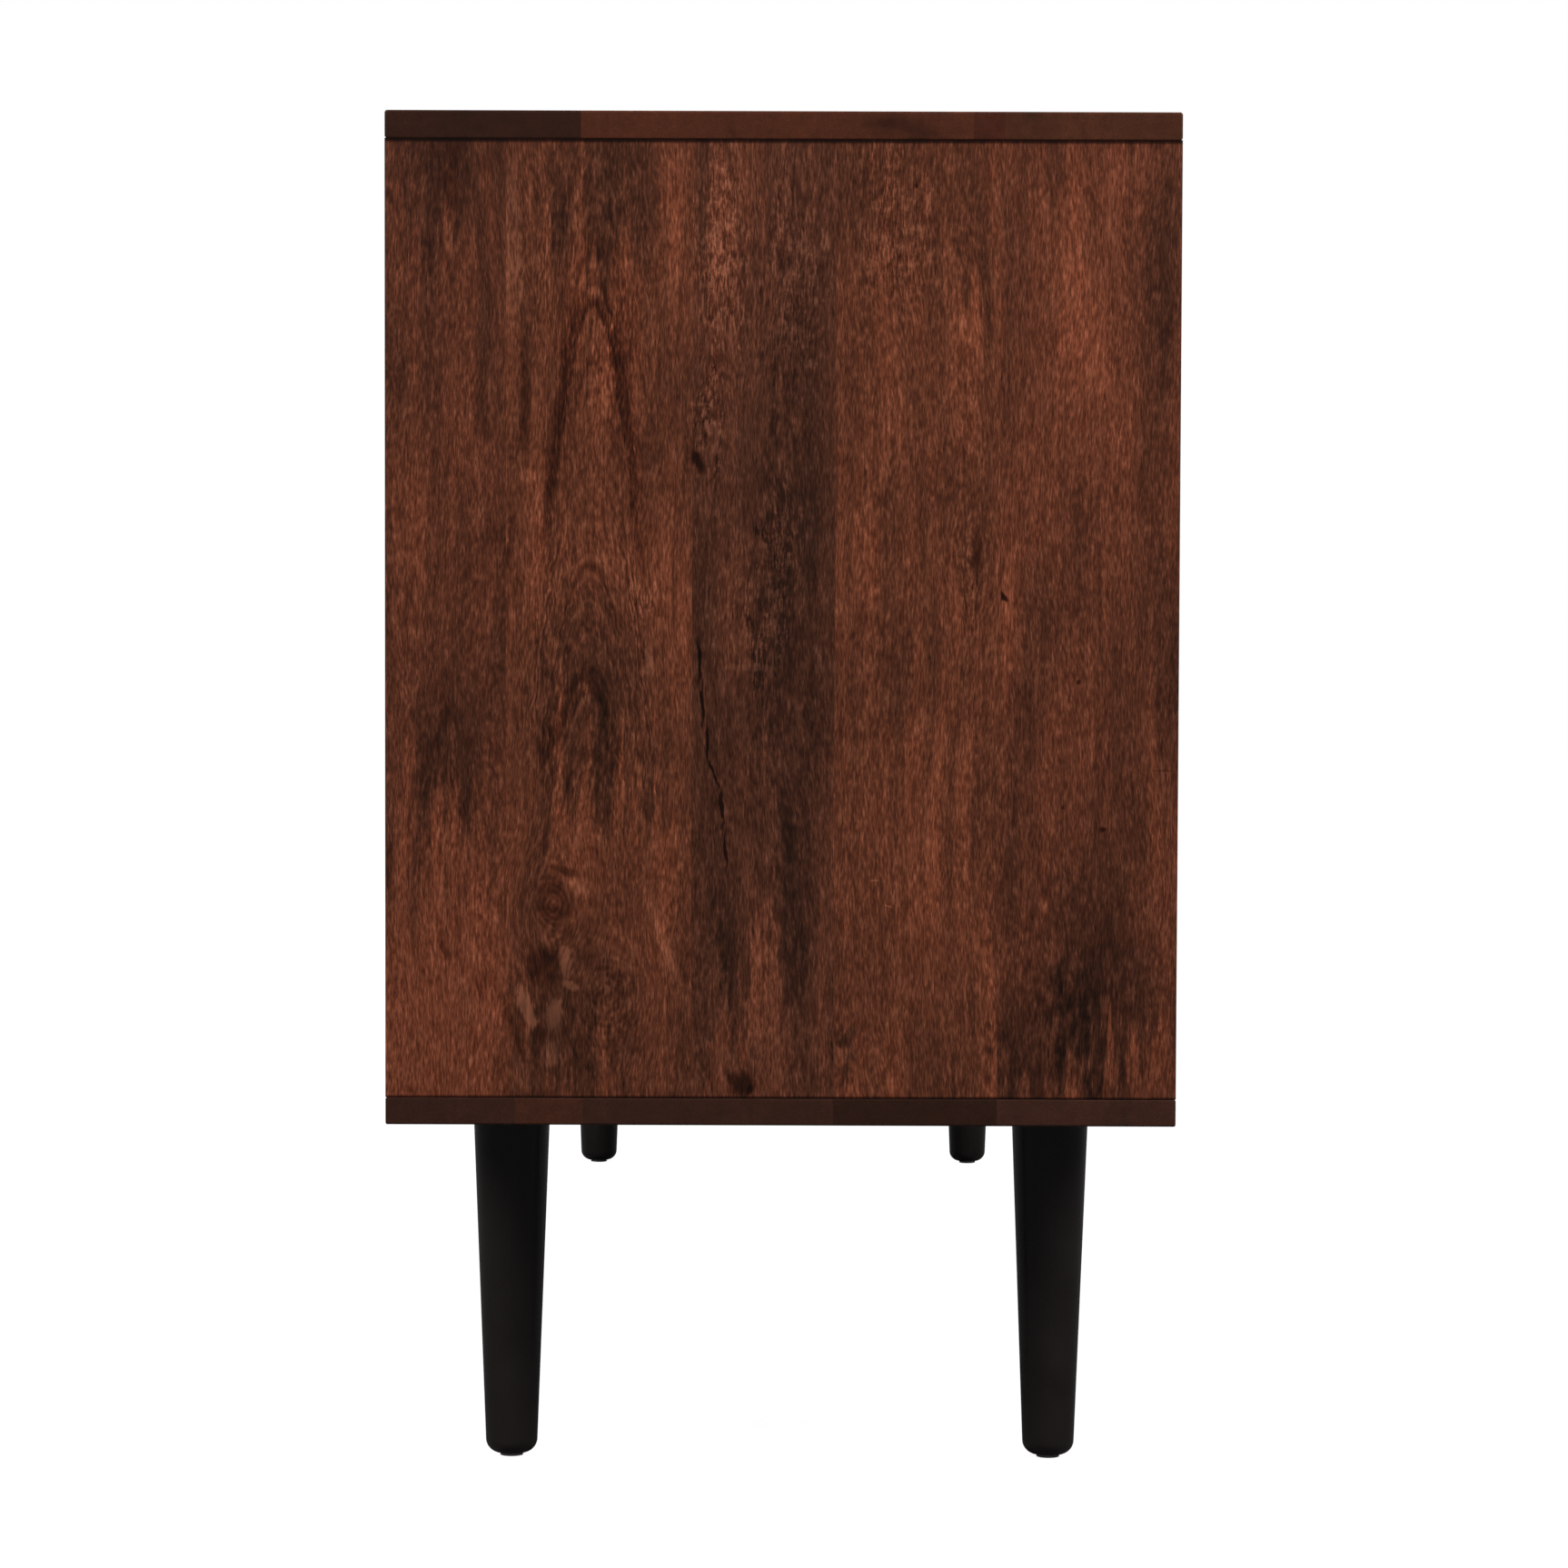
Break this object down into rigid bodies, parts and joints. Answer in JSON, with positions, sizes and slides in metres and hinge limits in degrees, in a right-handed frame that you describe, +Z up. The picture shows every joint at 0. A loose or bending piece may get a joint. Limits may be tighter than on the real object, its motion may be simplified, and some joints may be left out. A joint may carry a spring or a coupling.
{
  "type": "sideboard buffet",
  "caption": "Long low sideboard buffet with a hinged cupboard door at each end, drawers between, and turned tapered legs.",
  "frame": {"origin": "on the floor, under the middle of the case", "axes": "+X to the right along the length, seen from the front; +Y from front to back; +Z up"},
  "size_m": [1.56, 0.43, 0.753],
  "materials": {
    "stained_mango": "walnut stain under satin lacquer",
    "drawer_wood": "clear matt lacquer",
    "plywood": "sanded, clear matt lacquer",
    "dowel_beech": "bare, fluted",
    "black_lacquer": "satin black lacquer on turned wood",
    "aged_brass": "aged, brushed",
    "zinc_steel": "zinc plated",
    "magnet_steel": "ground",
    "catch_plastic": "moulded, matt",
    "nylon": "moulded, matt"
  },
  "bodies": {
    "case": {"top_panel": "stained_mango", "bottom_panel": "stained_mango", "side_panel_left": "stained_mango", "side_panel_right": "stained_mango", "partition_left": "stained_mango", "partition_right": "stained_mango", "back_panel": "plywood", "back_panel_screws": "zinc_steel", "case_dowels": "dowel_beech", "shelf_left": "stained_mango", "shelf_right": "stained_mango", "shelf_pins": "zinc_steel", "leg_front_left": "black_lacquer", "leg_front_right": "black_lacquer", "leg_back_left": "black_lacquer", "leg_back_right": "black_lacquer", "leg_bolts": "zinc_steel", "leg_t_nuts": "zinc_steel", "foot_glides": "nylon", "hinge_case_leaves": "aged_brass", "hinge_case_screws": "aged_brass", "door_catches": "catch_plastic", "catch_magnets": "magnet_steel", "catch_screws": "zinc_steel", "slide_outer_members": "zinc_steel", "slide_outer_screws": "zinc_steel"},
    "door_left_leaf": {"door_left": "stained_mango", "hinge_door_leaves_left": "aged_brass", "hinge_pins_left": "aged_brass", "hinge_screws_left": "aged_brass", "strike_plate_left": "zinc_steel", "strike_screw_left": "zinc_steel"},
    "door_right_leaf": {"door_right": "stained_mango", "hinge_door_leaves_right": "aged_brass", "hinge_pins_right": "aged_brass", "hinge_screws_right": "aged_brass", "strike_plate_right": "zinc_steel", "strike_screw_right": "zinc_steel"},
    "drawer_top": {"drawer_front_top": "stained_mango", "drawer_sides_top": "drawer_wood", "drawer_ends_top": "drawer_wood", "drawer_bottom_top": "plywood", "slide_inner_members_top": "zinc_steel", "drawer_screws_top": "zinc_steel"},
    "slides_top": {"slide_middle_members_top": "zinc_steel"},
    "drawer_middle": {"drawer_front_middle": "stained_mango", "drawer_sides_middle": "drawer_wood", "drawer_ends_middle": "drawer_wood", "drawer_bottom_middle": "plywood", "slide_inner_members_middle": "zinc_steel", "drawer_screws_middle": "zinc_steel"},
    "slides_middle": {"slide_middle_members_middle": "zinc_steel"},
    "drawer_bottom": {"drawer_front_bottom": "stained_mango", "drawer_sides_bottom": "drawer_wood", "drawer_ends_bottom": "drawer_wood", "drawer_bottom_bottom": "plywood", "slide_inner_members_bottom": "zinc_steel", "drawer_screws_bottom": "zinc_steel"},
    "slides_bottom": {"slide_middle_members_bottom": "zinc_steel"}
  },
  "joints": [
    {"name": "door_left_hinge", "type": "hinge", "parent": "case", "child": "door_left_leaf", "pos_m": [-0.7616, -0.2104, 0.4785], "axis": [0, 0, -1], "range_deg": [0, 110]},
    {"name": "door_right_hinge", "type": "hinge", "parent": "case", "child": "door_right_leaf", "pos_m": [0.7616, -0.2104, 0.4785], "axis": [0, 0, 1], "range_deg": [0, 110]},
    {"name": "drawer_top_travel", "type": "slide", "parent": "case", "child": "drawer_top", "axis": [0, -1, 0], "range_m": [0, 0.33]},
    {"name": "slides_top_travel", "type": "slide", "parent": "case", "child": "slides_top", "axis": [0, -1, 0], "range_m": [0, 0.165]},
    {"name": "drawer_middle_travel", "type": "slide", "parent": "case", "child": "drawer_middle", "axis": [0, -1, 0], "range_m": [0, 0.33]},
    {"name": "slides_middle_travel", "type": "slide", "parent": "case", "child": "slides_middle", "axis": [0, -1, 0], "range_m": [0, 0.165]},
    {"name": "drawer_bottom_travel", "type": "slide", "parent": "case", "child": "drawer_bottom", "axis": [0, -1, 0], "range_m": [0, 0.33]},
    {"name": "slides_bottom_travel", "type": "slide", "parent": "case", "child": "slides_bottom", "axis": [0, -1, 0], "range_m": [0, 0.165]}
  ],
  "couplings": [
    {"joint": "slides_top_travel", "follows": "drawer_top_travel", "ratio": 0.5},
    {"joint": "slides_middle_travel", "follows": "drawer_middle_travel", "ratio": 0.5},
    {"joint": "slides_bottom_travel", "follows": "drawer_bottom_travel", "ratio": 0.5}
  ]
}
